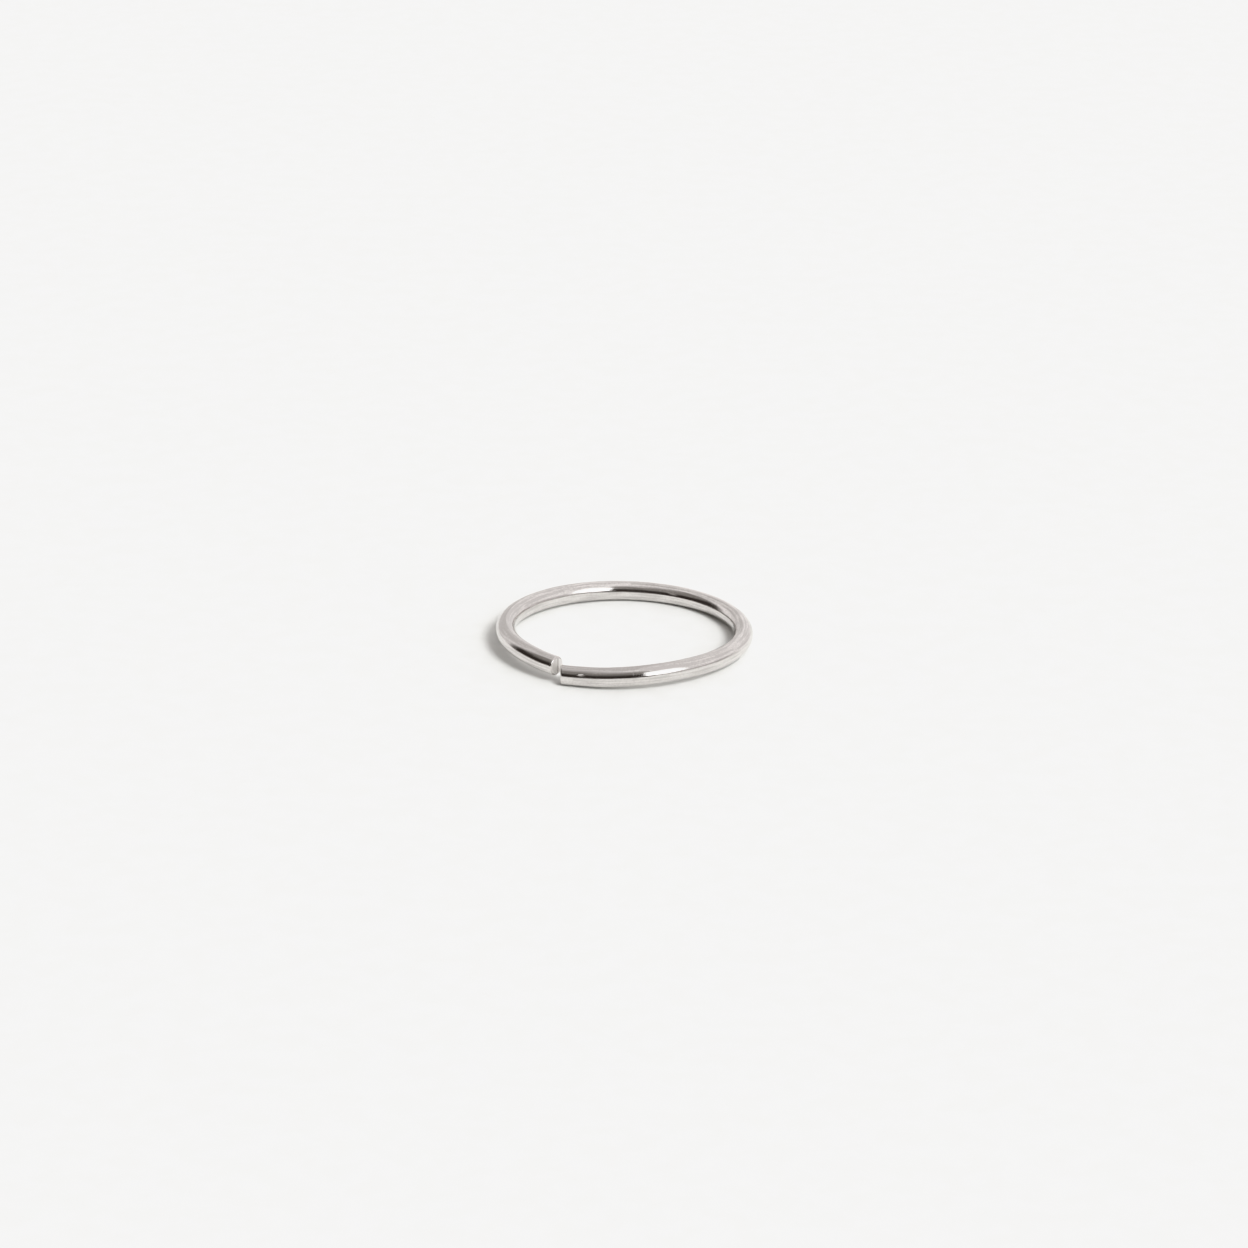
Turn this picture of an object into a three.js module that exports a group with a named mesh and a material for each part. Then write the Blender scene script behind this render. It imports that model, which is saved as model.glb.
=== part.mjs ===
// A plain nose hoop: one length of round silver wire bent into a single open turn, whose two
// square-cut ends come together at the joint. The hoop is shown lying on its side on a flat
// surface.
//
// Millimetres, +Z up. The origin is on the surface, under the centre of the hoop, and -Y is
// the front. The two ends have sprung a little apart, along the wire and in height, as they do
// when a hoop has been twisted open and shut. The end that starts the turn dips to the surface
// and props that side of the hoop up, and the hoop's other contact is straight across from it.

import * as THREE from 'three';

// Driving dimensions
const wireDiameter = 0.8; // 20 gauge wire
const innerDiameter = 9.0; // the size such a hoop is sold by
const jointAngle = THREE.MathUtils.degToRad(-32.2); // middle of the joint, from the front
const endGap = 0.25; // between the two cut faces, along the wire
const propHeight = 0.36; // how far the dipped end props up its side of the hoop
const dipAngle = THREE.MathUtils.degToRad(40); // how much of the turn the dip takes up
const raisedEndSag = 0.1; // the raised end is bent down again by this much
const sagAngle = THREE.MathUtils.degToRad(16); // over this much of the turn
const dippedEndStraight = THREE.MathUtils.degToRad(14); // last stretch of each end that
const raisedEndStraight = THREE.MathUtils.degToRad(6); // the winding left straight

// Fineness of the faceted solid
const stepsAlong = 96;
const sidesRound = 20;

const wireRadius = wireDiameter / 2;
const turnRadius = (innerDiameter + wireDiameter) / 2;

// The middle line of the wire, once round from the dipped end to the raised one.
class HoopCentreline extends THREE.Curve {
  getPoint(t, target = new THREE.Vector3()) {
    const halfGapAngle = endGap / 2 / turnRadius;
    const turned = THREE.MathUtils.lerp(halfGapAngle, 2 * Math.PI - halfGapAngle, t);
    const azimuth = jointAngle + turned;

    // The whole turn leans on the point opposite the joint. The first end dips from the
    // leaning plane down to the surface, and the second sags a little below that plane.
    const leaning = propHeight * Math.cos(turned / 2) ** 2;
    const dip = propHeight * Math.exp(-((turned / dipAngle) ** 2));
    const sag = raisedEndSag * Math.exp(-(((2 * Math.PI - turned) / sagAngle) ** 2));
    const height = wireRadius + leaning - dip - sag;

    // A straight end runs off its circle by half the square of the angle it stays straight for.
    const fromDippedEnd = turned - halfGapAngle;
    const fromRaisedEnd = 2 * Math.PI - halfGapAngle - turned;
    const runOff =
      Math.max(0, dippedEndStraight - fromDippedEnd) ** 2 / 2 +
      Math.max(0, raisedEndStraight - fromRaisedEnd) ** 2 / 2;
    const reach = turnRadius * (1 + runOff);

    return target.set(reach * Math.sin(azimuth), -reach * Math.cos(azimuth), height);
  }
}

function makeWireHoop() {
  const section = new THREE.Shape().absarc(0, 0, wireRadius, 0, 2 * Math.PI);
  const geometry = new THREE.ExtrudeGeometry(section, {
    extrudePath: new HoopCentreline(),
    steps: stepsAlong,
    curveSegments: sidesRound / 2, // a full arc is drawn with two sides to each segment
  });
  geometry.computeBoundingBox();
  geometry.translate(0, 0, -geometry.boundingBox.min.z); // stand it on the surface

  const polishedSilver = new THREE.MeshStandardMaterial({
    color: 0xd9d4d0,
    roughness: 0.12,
    metalness: 1,
  });
  const wireHoop = new THREE.Mesh(geometry, polishedSilver);
  wireHoop.name = 'wire_hoop';
  return wireHoop;
}

const noseRing = new THREE.Group();
noseRing.add(makeWireHoop());

export default noseRing;
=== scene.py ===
import math
from collections import namedtuple

import bpy
import numpy as np
from mathutils import Matrix, Vector


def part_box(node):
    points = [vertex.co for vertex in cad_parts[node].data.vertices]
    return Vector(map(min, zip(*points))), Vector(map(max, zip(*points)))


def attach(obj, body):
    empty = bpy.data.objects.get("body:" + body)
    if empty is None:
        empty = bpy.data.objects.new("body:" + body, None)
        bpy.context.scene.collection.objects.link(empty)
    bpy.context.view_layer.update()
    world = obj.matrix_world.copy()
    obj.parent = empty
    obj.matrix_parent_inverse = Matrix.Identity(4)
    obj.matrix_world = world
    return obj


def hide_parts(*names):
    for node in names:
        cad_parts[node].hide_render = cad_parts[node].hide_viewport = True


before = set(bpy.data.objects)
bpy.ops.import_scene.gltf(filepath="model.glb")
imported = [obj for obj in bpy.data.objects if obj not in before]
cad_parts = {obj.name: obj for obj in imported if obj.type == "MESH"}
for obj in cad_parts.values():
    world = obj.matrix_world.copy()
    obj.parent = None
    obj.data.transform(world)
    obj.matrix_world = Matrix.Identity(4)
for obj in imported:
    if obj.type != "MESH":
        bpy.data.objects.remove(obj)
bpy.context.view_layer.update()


# ---- Wire hoop ---------------------------------------------------------------------------
# The whole ring: one length of round sterling silver wire, wound into a single open turn on a
# mandrel, polished and tumbled. One end was nipped square and the other a little slanted, and
# they have sprung apart in height: the slanted one dips to the table, the other stands above it.

WIRE_DIAMETER = 0.0008
RIM_ROUND = 0.00008  # how far the tumbler has rounded the rims of the cut ends
END_GAP = 0.00025  # between the two cut faces, along the wire
NIP_RIDGE = 0.000020  # height of the faint ridge that the cutters' jaws left across each face
RIDGE_ROUND = 0.1  # how round the top of that ridge is, as a share of the wire's radius
NIP_SLANT = math.radians(16)  # how far off square the dipped end was nipped
NIP_REACH = 0.0008  # how far along the wire the mesh leans to follow the slanted nip
JOINT_ANGLE = math.radians(-32.2)  # middle of the joint, from the front
PROP_HEIGHT = 0.00036  # how far the dipped end props up its side of the hoop
DIP_ANGLE = math.radians(40)  # how far round the dip down to the table spreads
RAISED_END_SAG = 0.0001  # how far the other end sags
SAG_ANGLE = math.radians(16)  # how far round that sag spreads
DIPPED_END_STRAIGHT = math.radians(14)  # last stretch of each end that the winding left straight
RAISED_END_STRAIGHT = math.radians(6)
RIPPLE = 0.0000012  # the wire's slight waviness from winding and polishing by hand

Wave = namedtuple("Wave", "round_hoop round_wire phase share")
WAVES = (Wave(23, 1, 0.3, 0.5), Wave(41, 2, 1.9, 0.3), Wave(67, 1, 4.2, 0.2))

STATIONS = 900  # cross-sections along the wire, between the rims
SPOKES = 72  # points round each of them
RIM_RINGS = 8  # cross-sections round each rim
FACE_RINGS = 11  # rings of points on each cut face
MILLIMETRES = 1000  # to the metre

low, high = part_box("wire_hoop")
wire_radius = WIRE_DIAMETER / 2
turn_radius = (high.x - low.x) / 2 - wire_radius
half_gap_angle = END_GAP / 2 / turn_radius


def wire_centre(turned):
    """The wire's middle line, as points, at angles turned from the joint. A circle whose height is
    the wire's radius, plus a lean that falls as the square of the half angle's cosine to nothing
    opposite the joint, less a bell-shaped dip at the first end and a smaller one at the last. Each
    straight end runs off the circle by half the square of the angle it stays straight for."""
    azimuth = JOINT_ANGLE + turned
    lean = PROP_HEIGHT * np.cos(turned / 2) ** 2
    dip = PROP_HEIGHT * np.exp(-((turned / DIP_ANGLE) ** 2))
    sag = RAISED_END_SAG * np.exp(-(((2 * np.pi - turned) / SAG_ANGLE) ** 2))
    height = wire_radius + lean - dip - sag
    from_dipped_end = turned - half_gap_angle
    from_raised_end = 2 * np.pi - half_gap_angle - turned
    run_off = np.maximum(0, DIPPED_END_STRAIGHT - from_dipped_end) ** 2 / 2
    run_off = run_off + np.maximum(0, RAISED_END_STRAIGHT - from_raised_end) ** 2 / 2
    reach = turn_radius * (1 + run_off)
    return np.stack([reach * np.sin(azimuth), -reach * np.cos(azimuth), height], -1)


def wire_directions(turned):
    """Unit vectors along the wire, outwards from the hoop, and square to both, at each angle. The
    first is the difference between the middle line's points a small step either side."""
    step = 1e-4
    along = wire_centre(turned + step) - wire_centre(turned - step)
    along /= np.linalg.norm(along, axis=-1, keepdims=True)
    outwards = np.cross(along, [0.0, 0.0, 1.0])
    outwards /= np.linalg.norm(outwards, axis=-1, keepdims=True)
    return along, outwards, np.cross(outwards, along)


def wire_sections():
    """The angle and radius of every cross-section, from one face's middle to the other's. Between
    the rims the sections are evenly spaced and full size. At each end they follow a quarter circle
    of RIM_ROUND on to the face, where the angle stays and the radius shrinks evenly."""
    rim_turn = RIM_ROUND / turn_radius
    rim_start = half_gap_angle + rim_turn
    quarter = np.linspace(0, np.pi / 2, RIM_RINGS, endpoint=False)
    face = np.linspace(0, 1, FACE_RINGS + 2)[1:-1] * (wire_radius - RIM_ROUND)
    radius_in = np.concatenate([face, wire_radius - RIM_ROUND + RIM_ROUND * np.sin(quarter)])
    turned_in = np.concatenate([face * 0, rim_turn * (1 - np.cos(quarter))]) + half_gap_angle
    body = np.linspace(rim_start, 2 * np.pi - rim_start, STATIONS)
    turned = np.concatenate([turned_in, body, 2 * np.pi - turned_in[::-1]])
    radius = np.concatenate([radius_in, np.full(STATIONS, wire_radius), radius_in[::-1]])
    return turned, radius


def nip_ridge(across):
    """How far a cut face stands out at a distance across it: a low roof with a rounded ridge, the
    ridge's height times one less the root of the distance's square plus the rounding's square."""
    return NIP_RIDGE * (1 - np.sqrt((across / wire_radius) ** 2 + RIDGE_ROUND**2))


def nip_slant(turned, across_out):
    """How far points move along the wire to follow the slanted nip: their distance outwards times
    the slant's tangent, fading to nothing over NIP_REACH as the square of what is left of it."""
    from_face = (turned - half_gap_angle) * turn_radius / NIP_REACH
    return np.clip(1 - from_face, 0, 1) ** 2 * across_out * math.tan(NIP_SLANT)


def ripple(turned, around):
    """The wire's waviness: the sum of three sines, each so many waves round the hoop and turning
    so many times round the wire as it goes."""
    waviness = 0.0
    for wave in WAVES:
        angle = wave.round_hoop * turned + wave.round_wire * around + wave.phase
        waviness = waviness + wave.share * np.sin(angle)
    return RIPPLE * waviness


def make_wire_hoop():
    """A tube through the sections, closed at each cut face's middle by one point. Each point lies
    its section's radius from the middle line, plus the ripple, at an even angle round it, and is
    moved along the wire by the nips. It also keeps its place on the straight wire, as outwards,
    upwards and along from the joint in millimetres, in the attribute wire_place."""
    turned, radius = wire_sections()
    around = np.linspace(0, 2 * np.pi, SPOKES, endpoint=False)
    turned_grid, around_grid = np.meshgrid(turned, around, indexing="ij")
    radius_grid = np.broadcast_to(radius[:, None], turned_grid.shape)
    fullness = radius_grid / wire_radius
    radius_grid = radius_grid + fullness * ripple(turned_grid, around_grid)

    along, outwards, upwards = (v[:, None, :] for v in wire_directions(turned))
    across_out = radius_grid * np.cos(around_grid)
    across_up = radius_grid * np.sin(around_grid)
    points = wire_centre(turned)[:, None, :]
    points = points + across_out[..., None] * outwards + across_up[..., None] * upwards

    # the cutters' ridge stands on the faces and fades out over the rounded rims
    on_face = np.clip((wire_radius - radius) / RIM_ROUND, 0, 1)[:, None]
    facing = np.where(turned < np.pi, -1.0, 1.0)[:, None]
    moved = facing * on_face * nip_ridge(across_out) + nip_slant(turned[:, None], across_out)
    points = points + moved[..., None] * along

    ends = np.array([turned[0], turned[-1]])
    end_along = wire_directions(ends)[0]
    poles = wire_centre(ends) + np.array([[-1.0], [1.0]]) * nip_ridge(0.0) * end_along

    # quads between the rings and a fan round each pole, wound to face outwards
    rings = len(turned)
    index = np.arange(rings * SPOKES).reshape(rings, SPOKES)
    ahead = np.roll(index, -1, axis=1)
    quads = np.stack([index[:-1], index[1:], ahead[1:], ahead[:-1]], -1).reshape(-1, 4)
    first = rings * SPOKES
    last = first + 1
    fan_first = np.stack([np.full(SPOKES, first), index[0], ahead[0]], -1)
    fan_last = np.stack([np.full(SPOKES, last), ahead[-1], index[-1]], -1)

    mesh = bpy.data.meshes.new("silver_hoop")
    vertices = np.concatenate([points.reshape(-1, 3), poles])
    faces = quads.tolist() + fan_first.tolist() + fan_last.tolist()
    mesh.from_pydata(vertices.tolist(), [], faces)
    mesh.polygons.foreach_set("use_smooth", np.ones(len(faces), bool))

    place = np.stack([across_out, across_up, turned_grid * turn_radius], -1).reshape(-1, 3)
    place_poles = np.stack([ends * 0, ends * 0, ends * turn_radius], -1)
    place_all = np.concatenate([place, place_poles]) * MILLIMETRES
    wire_place = mesh.attributes.new("wire_place", "FLOAT_VECTOR", "POINT")
    wire_place.data.foreach_set("vector", place_all.ravel())

    # the second material covers the cut faces and the innermost strip of their rims
    strips = rings - 1
    cut = np.ones(len(faces), int)
    from_first = np.arange(strips)
    from_nearest = np.minimum(from_first, from_first[::-1])
    cut[: strips * SPOKES] = np.repeat(from_nearest <= FACE_RINGS, SPOKES)
    mesh.polygons.foreach_set("material_index", cut)
    mesh.update()
    hoop = bpy.data.objects.new("silver_hoop", mesh)
    bpy.context.scene.collection.objects.link(hoop)
    return hoop


def add_node(tree, kind, inputs=None, **settings):
    """A node of this kind, with its settings, and each named input linked or set."""
    node = tree.nodes.new(kind)
    for name, value in settings.items():
        setattr(node, name, value)
    for name, value in (inputs or {}).items():
        if isinstance(value, bpy.types.NodeSocket):
            tree.links.new(value, node.inputs[name])
        else:
            node.inputs[name].default_value = value
    return node


def maths(tree, operation, a, b=0.0):
    """One operation on one or two values, either of which may be a link."""
    return add_node(tree, "ShaderNodeMath", {0: a, 1: b}, operation=operation).outputs[0]


def weighed(tree, *parts):
    """The sum of some masks, each given with its weight."""
    total = 0.0
    for mask, weight in parts:
        total = maths(tree, "ADD", total, maths(tree, "MULTIPLY", mask, weight))
    return total


def ramped(tree, value, start, end, to_start=0.0, to_end=1.0):
    """The value carried smoothly from one range to another, and held at its ends."""
    inputs = {
        "Value": value,
        "From Min": start,
        "From Max": end,
        "To Min": to_start,
        "To Max": to_end,
    }
    node = add_node(tree, "ShaderNodeMapRange", inputs, interpolation_type="SMOOTHSTEP")
    return node.outputs["Result"]


def painted(tree, under, over, mask):
    """One colour painted over another where the mask says."""
    mix = add_node(tree, "ShaderNodeMix", data_type="RGBA")
    for name, value in (("Factor_Float", mask), ("A_Color", under), ("B_Color", over)):
        socket = next(i for i in mix.inputs if i.identifier == name)
        if isinstance(value, bpy.types.NodeSocket):
            tree.links.new(value, socket)
        else:
            socket.default_value = (*value, 1.0)
    return next(o for o in mix.outputs if o.identifier == "Result_Color")


def bumped(tree, height, depth, under=None):
    """A normal raised by a height of 0 to 1 times a depth, over another bump if one is given."""
    inputs = {"Height": height, "Strength": 1.0, "Distance": depth}
    if under is not None:
        inputs["Normal"] = under
    return add_node(tree, "ShaderNodeBump", inputs).outputs[0]


def speckled(tree, place, scale, detail):
    """Noise of 0 to 1, with so many grains to the unit and so many finer layers."""
    inputs = {"Vector": place, "Scale": scale, "Detail": detail}
    return add_node(tree, "ShaderNodeTexNoise", inputs).outputs[0]


# streaks run along the wire: so many to the millimetre across it and along it, and a seed
Streaks = namedtuple("Streaks", "across along seed")
BROAD_STREAKS = Streaks(5.0, 0.25, 5.0)  # the drawplate's shallow ridges
FINE_STREAKS = Streaks(14.0, 0.8, 17.0)  # its fine lines
DRAWN_SHADES = Streaks(11.0, 0.7, 41.0)  # where those lines take the light away
SCRATCHES = (Streaks(26.0, 1.1, 3.0), Streaks(26.0, 1.1, 11.0), Streaks(26.0, 1.1, 29.0))
SCRATCH_TURNS = (0.5, -0.7, 1.3)  # each set of scratches is turned by this much, in radians
PATCH_SCALE = 0.8  # dulled patches to the millimetre
PATCH_GRAIN = 9.0  # and the grains that make them up

# between these two levels of its noise, a mark goes from nothing to full
SCRATCH_LEVELS = (0.66, 0.74)
PATCH_LEVELS = (0.4, 0.7)
DRAWN_LEVELS = (0.38, 0.7)
GRAIN_LEVELS = (0.4, 0.66)


def streaked(tree, place, streaks):
    """Noise drawn out into streaks."""
    inputs = {
        "Vector": place,
        "Location": (streaks.seed, streaks.seed, streaks.seed),
        "Scale": (streaks.across, streaks.across, streaks.along),
    }
    laid = add_node(tree, "ShaderNodeMapping", inputs).outputs[0]
    return speckled(tree, laid, scale=1.0, detail=2.0)


def make_handling_wear():
    """The marks that any polished silver gets, as masks: hairline scratches that cross each other
    at three slants, and patches where the polish has dulled."""
    group = bpy.data.node_groups.new("handling_wear", "ShaderNodeTree")
    group.interface.new_socket("Place", in_out="INPUT", socket_type="NodeSocketVector")
    group.interface.new_socket("Scratches", in_out="OUTPUT", socket_type="NodeSocketFloat")
    group.interface.new_socket("Dullness", in_out="OUTPUT", socket_type="NodeSocketFloat")
    place = add_node(group, "NodeGroupInput").outputs["Place"]

    scratches = 0.0
    for turn, streaks in zip(SCRATCH_TURNS, SCRATCHES):
        inputs = {"Vector": place, "Rotation": (turn, turn / 2, 0.0)}
        slanted = add_node(group, "ShaderNodeMapping", inputs).outputs[0]
        line = ramped(group, streaked(group, slanted, streaks), *SCRATCH_LEVELS)
        scratches = maths(group, "ADD", scratches, line)
    patches = speckled(group, place, PATCH_SCALE, detail=4.0)
    dulled = ramped(group, patches, *PATCH_LEVELS)
    grains = speckled(group, place, PATCH_GRAIN, detail=3.0)

    out = add_node(group, "NodeGroupOutput")
    group.links.new(maths(group, "MINIMUM", scratches, 1.0), out.inputs["Scratches"])
    group.links.new(maths(group, "MULTIPLY", grains, dulled), out.inputs["Dullness"])
    return group


handling_wear = make_handling_wear()


def silver(name):
    """A bare silver material: its shader, its place on the wire, and its wear."""
    material = bpy.data.materials.new(name)
    material.use_nodes = True
    tree = material.node_tree
    shader = tree.nodes["Principled BSDF"]
    shader.inputs["Metallic"].default_value = 1.0
    place = add_node(tree, "ShaderNodeAttribute", attribute_name="wire_place").outputs["Vector"]
    wear = add_node(tree, "ShaderNodeGroup", node_tree=handling_wear)
    tree.links.new(place, wear.inputs["Place"])
    return material, tree, shader, place, wear


# depths are in metres, and places on the wire in millimetres
SILVER_COLOUR = (0.83, 0.803, 0.786)
WORN_AND_SHADE_COLOUR = (0.60, 0.577, 0.565)  # where fine marks scatter the light, and the painted shade line on the cut faces
BROAD_DEPTH = 0.000005
FINE_DEPTH = 0.0000016
SCRATCH_DEPTH = 0.0000005
NICK_DEPTH = 0.000024
NICK_PLACE = (0.348, 0.197, 1.08)  # out, up and along from the joint
NICK_SIZE = (0.05, 0.05, 0.22)
DARKENING_FULL = 2.0  # how far from the joint the darkening is at its full strength
DARKENING_END = 12.0  # and how far it reaches
DARKENING_HEIGHT = 0.3  # it builds up over this height on the wire's upper side
GRAIN_SCALE = 15.0  # fine grains to the millimetre, left by polishing

# how far each mark takes the silver towards its worn colour
DRAWN_WEAR = 0.85
SCRATCH_WEAR = 0.4
DULL_WEAR = 0.7
DARKENING_WEAR = 0.55
GRAIN_WEAR = 0.4

CLEAN_ROUGHNESS = 0.08
DULL_ROUGHNESS = 0.2  # added where it is dull, and where it is scratched
SCRATCH_ROUGHNESS = 0.1


def nick_mask(tree, place):
    """A soft-edged oval about NICK_PLACE, lying along the wire."""
    scale = tuple(1 / size for size in NICK_SIZE)
    away = add_node(tree, "ShaderNodeVectorMath", {0: place, 1: NICK_PLACE}, operation="SUBTRACT")
    inputs = {0: away.outputs[0], 1: scale}
    scaled = add_node(tree, "ShaderNodeVectorMath", inputs, operation="MULTIPLY")
    reach = add_node(tree, "ShaderNodeVectorMath", {0: scaled.outputs[0]}, operation="LENGTH")
    return ramped(tree, reach.outputs["Value"], 0.0, 1.0, 1.0, 0.0)


def upper_darkening_mask(tree, place):
    """Where the wire is painted darker: on its upper side, near the joint on both ends."""
    parts = add_node(tree, "ShaderNodeSeparateXYZ", {0: place}).outputs
    up, along = parts[1], parts[2]
    whole_turn = 2 * math.pi * turn_radius * MILLIMETRES
    from_joint = maths(tree, "MINIMUM", along, maths(tree, "SUBTRACT", whole_turn, along))
    near = ramped(tree, from_joint, DARKENING_FULL, DARKENING_END, 1.0, 0.0)
    return maths(tree, "MULTIPLY", near, ramped(tree, up, 0.0, DARKENING_HEIGHT))


def make_polished_silver():
    """The wire's skin: bright, with the drawplate's lines running along it, painted darker on its
    upper side near the joint, and one small nick."""
    material, tree, shader, place, wear = silver("polished_silver")
    scratches = wear.outputs["Scratches"]
    dullness = wear.outputs["Dullness"]

    normal = bumped(tree, streaked(tree, place, BROAD_STREAKS), BROAD_DEPTH)
    normal = bumped(tree, streaked(tree, place, FINE_STREAKS), FINE_DEPTH, normal)
    for sunk, depth in ((scratches, SCRATCH_DEPTH), (nick_mask(tree, place), NICK_DEPTH)):
        normal = bumped(tree, maths(tree, "SUBTRACT", 1.0, sunk), depth, normal)
    tree.links.new(normal, shader.inputs["Normal"])

    drawn = ramped(tree, streaked(tree, place, DRAWN_SHADES), *DRAWN_LEVELS)
    grains = ramped(tree, speckled(tree, place, GRAIN_SCALE, detail=3.0), *GRAIN_LEVELS)
    # the marks also paint the wire darker on its upper side near the joint
    marks = weighed(
        tree,
        (drawn, DRAWN_WEAR),
        (scratches, SCRATCH_WEAR),
        (dullness, DULL_WEAR),
        (upper_darkening_mask(tree, place), DARKENING_WEAR),
        (grains, GRAIN_WEAR),
    )
    colour = painted(tree, SILVER_COLOUR, WORN_AND_SHADE_COLOUR, maths(tree, "MINIMUM", marks, 1.0))
    tree.links.new(colour, shader.inputs["Base Color"])

    marred = weighed(tree, (dullness, DULL_ROUGHNESS), (scratches, SCRATCH_ROUGHNESS))
    rough = maths(tree, "ADD", marred, CLEAN_ROUGHNESS)
    tree.links.new(rough, shader.inputs["Roughness"])
    return material


FRESH_COLOUR = (0.97, 0.955, 0.94)  # of the metal where it was cut
DRAG_SCALE = (60.0, 4.0, 4.0)  # the jaws' drag marks to the millimetre: out, up and along
DRAG_LEVELS = (0.3, 0.7)
DRAG_DEPTH = 0.000002
CUT_ROUGHNESS = (0.42, 0.58)  # between the drag marks and on them
CUT_DULLING = 0.1  # added where it is dull
SHADE_LINE = -0.05  # how far out from the middle the painted shade line beside the cutters' ridge is
SHADE_LINE_CORE = 0.015  # half the painted shade line's dark core, and half its whole width
SHADE_LINE_EDGE = 0.05


def make_cut_silver():
    """The nipped end faces: the same silver, fresh and satin, with the jaws' fine drag marks, and
    a line of painted shade from top to bottom beside the cutters' ridge."""
    material, tree, shader, place, wear = silver("cut_silver")
    dragged = add_node(tree, "ShaderNodeMapping", {"Vector": place, "Scale": DRAG_SCALE})
    drag = speckled(tree, dragged.outputs[0], scale=1.0, detail=3.0)
    tree.links.new(bumped(tree, drag, DRAG_DEPTH), shader.inputs["Normal"])

    rough = ramped(tree, drag, *DRAG_LEVELS, *CUT_ROUGHNESS)
    dulled = maths(tree, "MULTIPLY", wear.outputs["Dullness"], CUT_DULLING)
    tree.links.new(maths(tree, "ADD", rough, dulled), shader.inputs["Roughness"])

    # a darker line painted down each face beside the ridge stands in for the shade there
    out = add_node(tree, "ShaderNodeSeparateXYZ", {0: place}).outputs[0]
    off_shade_line = maths(tree, "ABSOLUTE", maths(tree, "SUBTRACT", out, SHADE_LINE))
    line = ramped(tree, off_shade_line, SHADE_LINE_CORE, SHADE_LINE_EDGE, 1.0, 0.0)
    tree.links.new(painted(tree, FRESH_COLOUR, WORN_AND_SHADE_COLOUR, line), shader.inputs["Base Color"])
    return material


hoop = make_wire_hoop()
hoop.data.materials.append(make_polished_silver())
hoop.data.materials.append(make_cut_silver())
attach(hoop, "root")
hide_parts("wire_hoop")


# ---- Paper -------------------------------------------------------------------------------
# The sheet of smooth white card that the ring lies on, flat and with nothing holding it. It is
# only the stage.

PAPER_SIZE = 6.0
PAPER_COLOUR = (0.832, 0.84, 0.824)
PAPER_SHADE = (0.802, 0.81, 0.793)  # in the faint mottling of its surface
MOTTLE_SCALE = 900.0  # mottles to the metre
MOTTLE_LEVELS = (0.35, 0.65)
PAPER_ROUGHNESS = 0.9
PAPER_SHINE = 0.1


def make_paper():
    """One flat square about the origin, at the height that the ring rests on."""
    mesh = bpy.data.meshes.new("paper")
    half = PAPER_SIZE / 2
    corners = [(-half, -half, 0), (half, -half, 0), (half, half, 0), (-half, half, 0)]
    mesh.from_pydata(corners, [], [(0, 1, 2, 3)])
    paper = bpy.data.objects.new("paper", mesh)
    bpy.context.scene.collection.objects.link(paper)

    material = bpy.data.materials.new("white_card")
    material.use_nodes = True
    tree = material.node_tree
    shader = tree.nodes["Principled BSDF"]
    shader.inputs["Roughness"].default_value = PAPER_ROUGHNESS
    shader.inputs["Specular IOR Level"].default_value = PAPER_SHINE
    place = add_node(tree, "ShaderNodeTexCoord").outputs["Object"]
    mottle = ramped(tree, speckled(tree, place, MOTTLE_SCALE, detail=3.0), *MOTTLE_LEVELS)
    tree.links.new(painted(tree, PAPER_COLOUR, PAPER_SHADE, mottle), shader.inputs["Base Color"])
    mesh.materials.append(material)
    return paper


make_paper()


# ---- Studio ------------------------------------------------------------------------------
# The room that lights the ring and shows in it: pale walls, a dark side from the left round past
# the camera, with a thin slit of light in it, and a bright window at the front right. A soft key
# light stands on the window's side and lights the paper.

WALL = (0.94, 0.91, 0.90)
BACKDROP = (1.05, 1.05, 1.03)  # what the camera sees past the paper's edge

# Directions are in degrees: azimuth round from the camera's side, positive to the right, and
# elevation above the horizon. A span runs from start to end, with soft edges so wide.
Span = namedtuple("Span", "start end soft_start soft_end")
ALL = 400  # beyond any direction
DARK_AZIMUTHS = Span(-117, 25, 24, 5)

# the patches on the walls, each laid over those before it
Patch = namedtuple("Patch", "colour azimuths elevations")
PATCHES = {
    "back left wall": Patch((0.74, 0.715, 0.70), Span(-ALL, -135, 1, 30), Span(-ALL, ALL, 1, 1)),
    "low wall": Patch((0.62, 0.60, 0.585), Span(20, 108, 10, 20), Span(-ALL, 10.5, 1, 3)),
    "upper dark side": Patch((0.30, 0.28, 0.265), DARK_AZIMUTHS, Span(-ALL, 69, 1, 34)),
    "dark side": Patch((0.034, 0.027, 0.023), DARK_AZIMUTHS, Span(4.5, 35, 3, 22)),
    "slit": Patch((0.5, 0.47, 0.45), Span(-56, -51, 3, 3), Span(18, 40, 8, 12)),
    "window": Patch((2.6, 2.6, 2.6), Span(17, 54, 4, 22), Span(14, 48, 4, 22)),
}

KEY_AZIMUTH = math.radians(36)
KEY_ELEVATION = math.radians(43)
KEY_SOFTNESS = math.radians(20)  # how wide the light is, seen from the ring
KEY_STRENGTH = 2.2

TONE_TOP = 2.0  # shown as full white
Tone = namedtuple("Tone", "light shown")
SHOULDER = (
    Tone(0.4, 0.4),
    Tone(0.75, 0.75),
    Tone(0.88, 0.865),
    Tone(0.96, 0.907),
    Tone(1.05, 0.922),
    Tone(1.3, 0.945),
)
ALL_CHANNELS = 3  # the curve that bends red, green and blue together


def between(tree, value, span):
    """A mask that is 1 over the span, with its soft edges centred on the start and the end."""
    half_start, half_end = span.soft_start / 2, span.soft_end / 2
    rise = ramped(tree, value, span.start - half_start, span.start + half_start)
    fall = ramped(tree, value, span.end - half_end, span.end + half_end, 1.0, 0.0)
    return maths(tree, "MULTIPLY", rise, fall)


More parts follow.
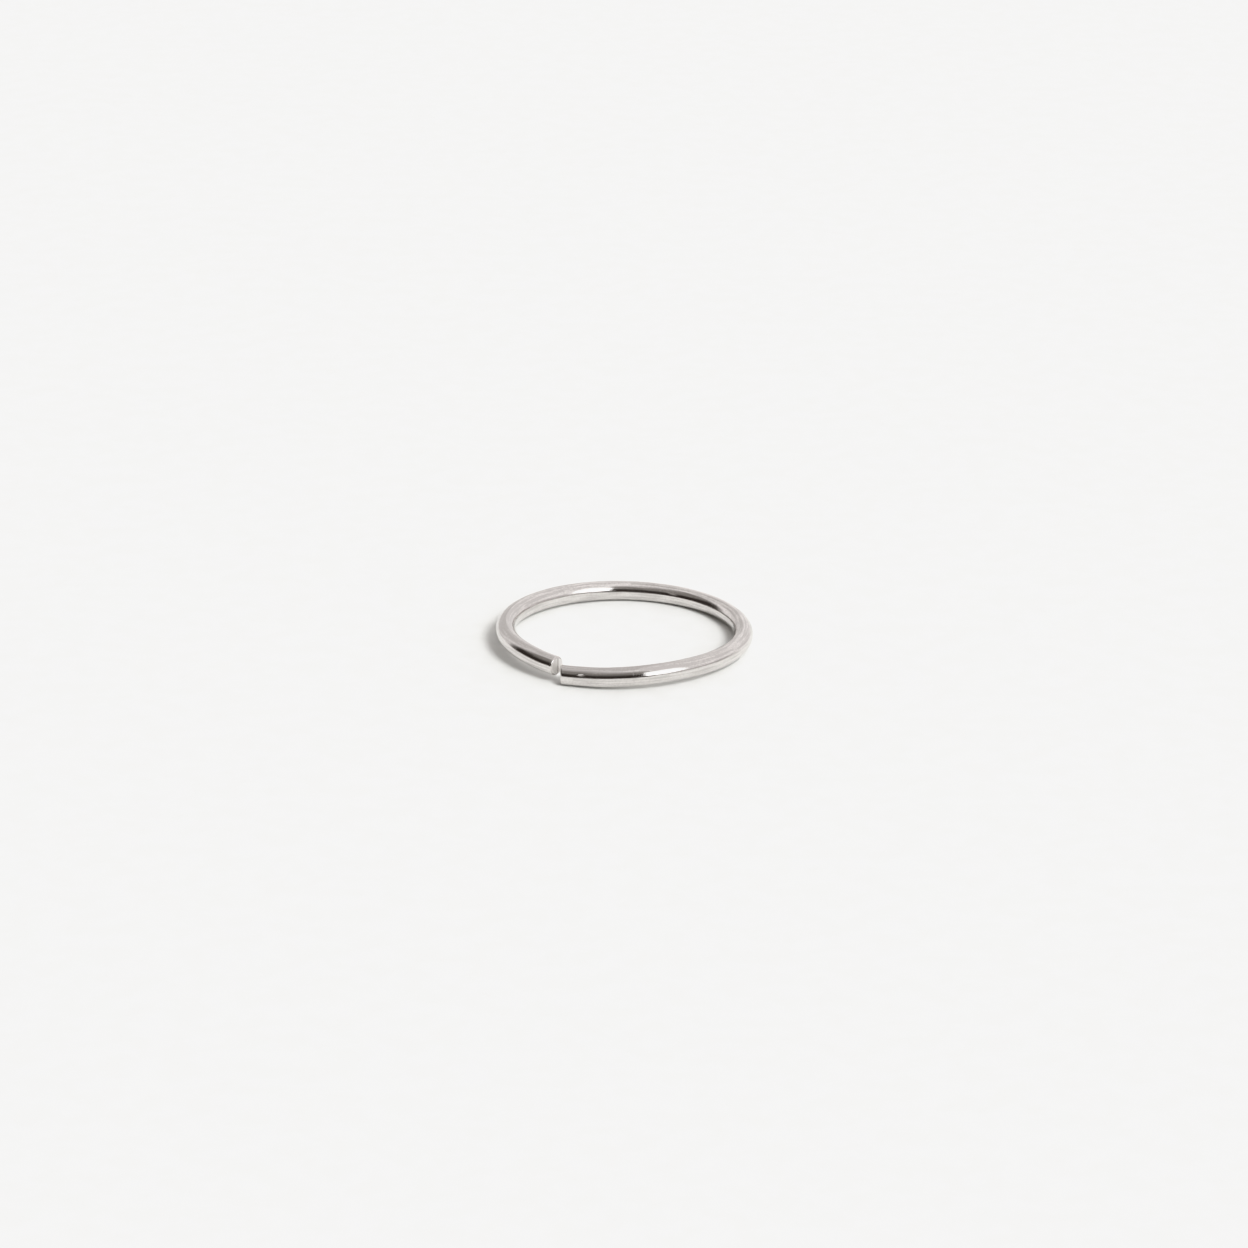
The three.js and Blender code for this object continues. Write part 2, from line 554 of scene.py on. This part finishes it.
def make_studio():
    """The room, painted by direction. The camera itself sees a plain backdrop instead."""
    world = bpy.data.worlds.new("studio")
    world.use_nodes = True
    tree = world.node_tree
    direction = add_node(tree, "ShaderNodeTexCoord").outputs["Generated"]
    x, y, z = add_node(tree, "ShaderNodeSeparateXYZ", {0: direction}).outputs
    azimuth = maths(tree, "ARCTAN2", x, maths(tree, "MULTIPLY", y, -1.0))
    azimuth = maths(tree, "DEGREES", azimuth)
    elevation = maths(tree, "DEGREES", maths(tree, "ARCSINE", z))

    colour = WALL
    for patch in PATCHES.values():
        across = between(tree, azimuth, patch.azimuths)
        upright = between(tree, elevation, patch.elevations)
        colour = painted(tree, colour, patch.colour, maths(tree, "MULTIPLY", across, upright))

    background = tree.nodes["Background"]
    tree.links.new(colour, background.inputs["Color"])
    backdrop = add_node(tree, "ShaderNodeBackground", {"Color": (*BACKDROP, 1.0)})
    seen = add_node(tree, "ShaderNodeLightPath").outputs["Is Camera Ray"]
    shaders = {0: seen, 1: background.outputs[0], 2: backdrop.outputs[0]}
    mixed = add_node(tree, "ShaderNodeMixShader", shaders)
    tree.links.new(mixed.outputs[0], tree.nodes["World Output"].inputs["Surface"])
    bpy.context.scene.world = world


def make_key():
    """The key light, a soft sun. The silver doesn't show it, since it shows the window."""
    light = bpy.data.lights.new("key", "SUN")
    light.angle = KEY_SOFTNESS
    light.energy = KEY_STRENGTH
    key = bpy.data.objects.new("key", light)
    key.visible_glossy = False
    level = math.cos(KEY_ELEVATION)
    rightwards = level * math.sin(KEY_AZIMUTH)
    forwards = level * math.cos(KEY_AZIMUTH)
    towards = Vector((rightwards, -forwards, math.sin(KEY_ELEVATION)))
    key.rotation_euler = towards.to_track_quat("Z", "Y").to_euler()
    bpy.context.scene.collection.objects.link(key)


def set_tones():
    """Plain tones with a soft shoulder that draws everything near the card's white together."""
    settings = bpy.context.scene.view_settings
    settings.view_transform = "Standard"
    settings.use_curve_mapping = True
    mapping = settings.curve_mapping
    mapping.white_level = (TONE_TOP, TONE_TOP, TONE_TOP)
    for tone in SHOULDER:
        mapping.curves[ALL_CHANNELS].points.new(tone.light / TONE_TOP, tone.shown)
    mapping.update()


make_studio()
make_key()
set_tones()


# ---- Camera ------------------------------------------------------------------------------
# A long lens in front of the ring, looking down on it at about 22 degrees.

CAMERA_ELEVATION = math.radians(21.9)
CAMERA_DISTANCE = 0.1929
CAMERA_ROLL = math.radians(0.2)
LENS = 135.0  # in millimetres, as the sensor is
SENSOR_WIDTH = 36.0
AIM = (-0.00002, 0.0, 0.00086)
NEAREST = 0.01  # the camera sees nothing closer than this or farther than that
FARTHEST = 20.0


def make_camera():
    """The camera, at CAMERA_DISTANCE back from AIM, rolled about its own line of sight."""
    data = bpy.data.cameras.new("camera")
    data.lens = LENS
    data.sensor_width = SENSOR_WIDTH
    data.clip_start = NEAREST
    data.clip_end = FARTHEST
    camera = bpy.data.objects.new("camera", data)
    bpy.context.scene.collection.objects.link(camera)
    back = np.array([0.0, -math.cos(CAMERA_ELEVATION), math.sin(CAMERA_ELEVATION)])
    camera.location = np.array(AIM) + CAMERA_DISTANCE * back
    tilt = Matrix.Rotation(math.pi / 2 - CAMERA_ELEVATION, 3, "X")
    camera.rotation_euler = (tilt @ Matrix.Rotation(CAMERA_ROLL, 3, "Z")).to_euler()
    bpy.context.scene.camera = camera


make_camera()
